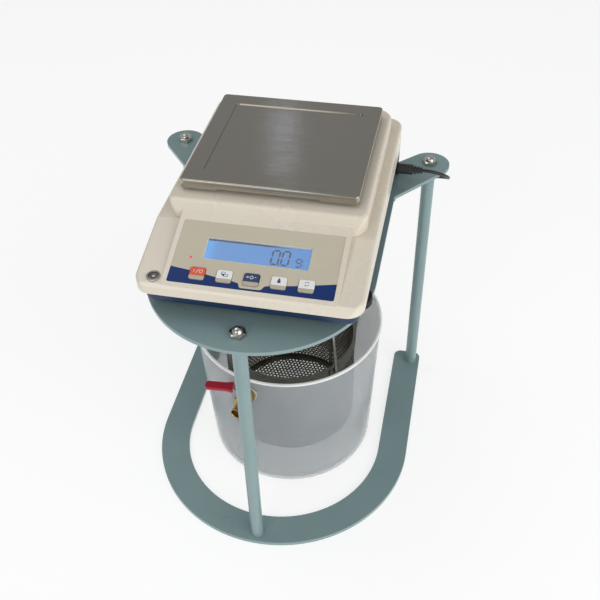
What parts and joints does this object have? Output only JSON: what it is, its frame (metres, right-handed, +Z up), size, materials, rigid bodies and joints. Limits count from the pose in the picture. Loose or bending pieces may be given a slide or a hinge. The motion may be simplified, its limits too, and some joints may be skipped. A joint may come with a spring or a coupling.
{
  "type": "benchtop density meter",
  "caption": "Density balance with a tilted keypad on a three-post steel stand, its under-hook carrying a wire bail and basket in a bucket with a drain valve.",
  "frame": {"origin": "on the bench, at the centre of the stand's outline seen from above", "axes": "+Z up, +X to the user's right, +Y away from the user, with the keypad at the -Y side"},
  "size_m": [0.3265, 0.3861, 0.4014],
  "materials": {
    "teal_paint": "satin powder coat",
    "polished_steel": "polished",
    "plain_steel": "plain",
    "black_plastic": "matt",
    "black_cord": "smooth",
    "blue_case": "fine texture",
    "cream_case": "fine texture",
    "overlay": "printed film",
    "clear_window": "glossy",
    "display": "lit",
    "circuit_board": "varnished",
    "key_white": "satin",
    "key_orange": "satin",
    "key_blue": "satin",
    "lamp": "clear",
    "vial_glass": "clear",
    "aluminium": "machined",
    "black_rubber": "matt",
    "pan_steel": "brushed",
    "wire_steel": "bright drawn",
    "basket_steel": "satin",
    "bucket_plastic": "translucent",
    "brass": "turned",
    "lever_steel": "pressed",
    "red_vinyl": "dipped",
    "pin_brass": "bright"
  },
  "bodies": {
    "stand": {"base_plate": "teal_paint", "top_plate": "teal_paint", "post_front": "teal_paint", "post_rear_right": "teal_paint", "post_rear_left": "teal_paint", "dome_nut_front": "polished_steel", "dome_nut_rear_right": "polished_steel", "dome_nut_rear_left": "polished_steel", "base_screws": "plain_steel", "case_screws": "plain_steel", "cell_screws": "plain_steel", "bubble_level_cup": "black_plastic", "dc_jack": "black_plastic", "dc_plug": "black_plastic", "key_switches": "black_plastic", "wall_adapter": "black_plastic", "power_cord": "black_cord", "cord_coil": "black_cord", "cord_tail": "black_cord", "coil_tie": "black_cord", "lower_case": "blue_case", "upper_housing": "cream_case", "panel_overlay": "overlay", "lcd_window": "clear_window", "lcd_module": "display", "display_board": "circuit_board", "main_board": "circuit_board", "power_led": "lamp", "bubble_level_vial": "vial_glass", "load_cell": "aluminium", "load_cell_block": "aluminium", "pan_bracket": "aluminium", "pan_support": "aluminium", "pan_pads": "black_rubber", "under_hook": "wire_steel", "adapter_pins": "pin_brass"},
    "pan": {"weighing_pan": "pan_steel"},
    "key_power": {"key_power": "key_orange"},
    "key_unit": {"key_unit": "key_white"},
    "key_tare": {"key_tare": "key_blue"},
    "key_print": {"key_print": "key_white"},
    "key_mode": {"key_mode": "key_white"},
    "foot_front_right": {"foot_front_right": "black_plastic"},
    "foot_front_left": {"foot_front_left": "black_plastic"},
    "foot_rear_right": {"foot_rear_right": "black_plastic"},
    "foot_rear_left": {"foot_rear_left": "black_plastic"},
    "bucket": {"bucket": "bucket_plastic", "valve_body": "brass", "valve_wall_nut": "brass", "valve_gaskets": "black_rubber", "valve_outlet": "brass"},
    "valve_lever": {"valve_ball": "brass", "valve_stem": "plain_steel", "valve_lever": "lever_steel", "lever_sleeve": "red_vinyl"},
    "bail": {"basket_bail": "wire_steel"},
    "basket": {"basket_wall": "basket_steel", "basket_bottom": "basket_steel", "basket_rim": "basket_steel", "bail_ears": "basket_steel"}
  },
  "joints": [
    {"name": "pan_lift", "type": "slide", "parent": "stand", "child": "pan", "axis": [0, 0, 1], "range_m": [0, 0.03]},
    {"name": "key_power_press", "type": "slide", "parent": "stand", "child": "key_power", "axis": [0, 0.299, -0.9542], "range_m": [0, 0.0005], "stiffness_N_per_m": 2000, "springref_m": -0.0002},
    {"name": "key_unit_press", "type": "slide", "parent": "stand", "child": "key_unit", "axis": [0, 0.299, -0.9542], "range_m": [0, 0.0005], "stiffness_N_per_m": 2000, "springref_m": -0.0002},
    {"name": "key_tare_press", "type": "slide", "parent": "stand", "child": "key_tare", "axis": [0, 0.299, -0.9542], "range_m": [0, 0.0005], "stiffness_N_per_m": 2000, "springref_m": -0.0002},
    {"name": "key_print_press", "type": "slide", "parent": "stand", "child": "key_print", "axis": [0, 0.299, -0.9542], "range_m": [0, 0.0005], "stiffness_N_per_m": 2000, "springref_m": -0.0002},
    {"name": "key_mode_press", "type": "slide", "parent": "stand", "child": "key_mode", "axis": [0, 0.299, -0.9542], "range_m": [0, 0.0005], "stiffness_N_per_m": 2000, "springref_m": -0.0002},
    {"name": "foot_front_right_turn", "type": "hinge", "parent": "stand", "child": "foot_front_right", "pos_m": [0.095, -0.08775, 0.33], "axis": [0, 0, 1], "range_deg": [-180, 180]},
    {"name": "foot_front_left_turn", "type": "hinge", "parent": "stand", "child": "foot_front_left", "pos_m": [-0.085, -0.08775, 0.33], "axis": [0, 0, 1], "range_deg": [-180, 180]},
    {"name": "foot_rear_right_turn", "type": "hinge", "parent": "stand", "child": "foot_rear_right", "pos_m": [0.095, 0.12625, 0.33], "axis": [0, 0, 1], "range_deg": [-180, 180]},
    {"name": "foot_rear_left_turn", "type": "hinge", "parent": "stand", "child": "foot_rear_left", "pos_m": [-0.085, 0.12625, 0.33], "axis": [0, 0, 1], "range_deg": [-180, 180]},
    {"name": "bucket_lift", "type": "slide", "parent": "stand", "child": "bucket", "axis": [0, 0, 1], "range_m": [0, 0.022]},
    {"name": "valve_turn", "type": "hinge", "parent": "bucket", "child": "valve_lever", "pos_m": [-0.0196, -0.09019, 0.16], "axis": [0, 0, 1], "range_deg": [-16, 74]},
    {"name": "bail_swing", "type": "hinge", "parent": "stand", "child": "bail", "pos_m": [0.005, 0.02225, 0.288], "axis": [0.6157, 0.788, 0], "range_deg": [-2.5, 2.5]},
    {"name": "basket_swing", "type": "hinge", "parent": "bail", "child": "basket", "pos_m": [0.005, 0.02225, 0.152], "axis": [0.788, -0.6157, 0], "range_deg": [-4, 4]}
  ]
}
